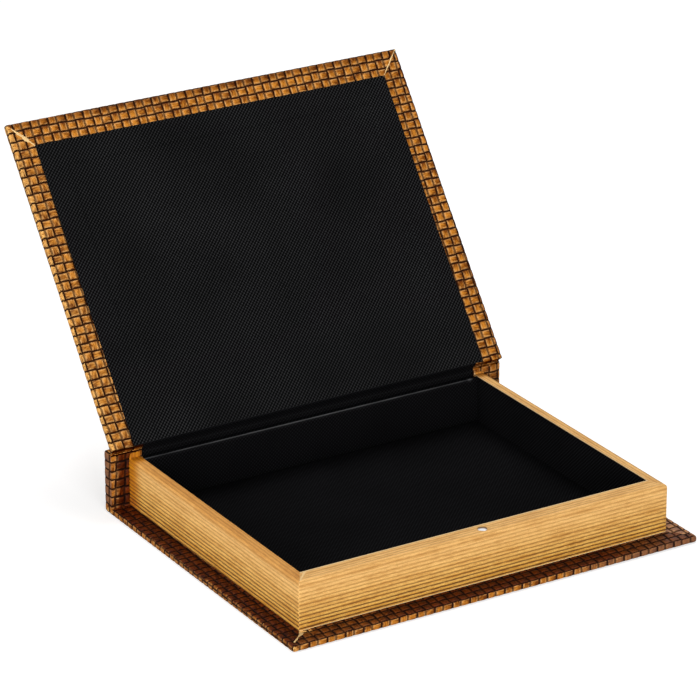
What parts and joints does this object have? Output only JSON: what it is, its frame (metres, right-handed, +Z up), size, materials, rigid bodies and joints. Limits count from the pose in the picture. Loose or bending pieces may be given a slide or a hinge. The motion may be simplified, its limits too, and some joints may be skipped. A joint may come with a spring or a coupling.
{
  "type": "book box",
  "caption": "Book-shaped keepsake box: leatherette covers and spine, a cloth-lined tray dressed as ribbed page edges, and a magnet-held lid turning on the spine joint.",
  "frame": {"origin": "middle of the base cover's underside, spine included", "axes": "+X along the spine to the right as seen from the open front, +Y from the front edge to the spine, +Z up from the underside"},
  "size_m": [0.263, 0.3232, 0.1987],
  "materials": {
    "leatherette": "basket-weave embossed leatherette, golden tan with dark brown grooves, satin",
    "greyboard": "raw greyboard, hidden under the leatherette and the linings",
    "fibreboard": "raw fibreboard, seen only round the magnet",
    "page_paper": "ribbed paper printed gold and brown like old page edges, matt",
    "black_cloth": "fine plain-woven black book cloth, matt",
    "nickel": "nickel-plated, satin"
  },
  "bodies": {
    "case": {"base_board": "greyboard", "base_wrap": "leatherette", "spine_board": "greyboard", "spine_card": "greyboard", "spine_wrap": "leatherette", "floor_card": "greyboard", "front_wall": "fibreboard", "back_wall": "fibreboard", "left_wall": "fibreboard", "right_wall": "fibreboard", "front_page_edge": "page_paper", "left_page_edge": "page_paper", "right_page_edge": "page_paper", "floor_lining": "black_cloth", "front_lining": "black_cloth", "left_lining": "black_cloth", "right_lining": "black_cloth", "hinge_cloth": "black_cloth", "front_magnet": "nickel"},
    "lid": {"lid_board": "greyboard", "lid_card": "greyboard", "lid_wrap": "leatherette", "lid_lining": "black_cloth", "lid_magnet": "nickel"}
  },
  "joints": [
    {"name": "lid_hinge", "type": "hinge", "parent": "case", "child": "lid", "pos_m": [0, 0.09605, 0.0375], "axis": [1, 0, 0], "range_deg": [0, 127.5]}
  ]
}
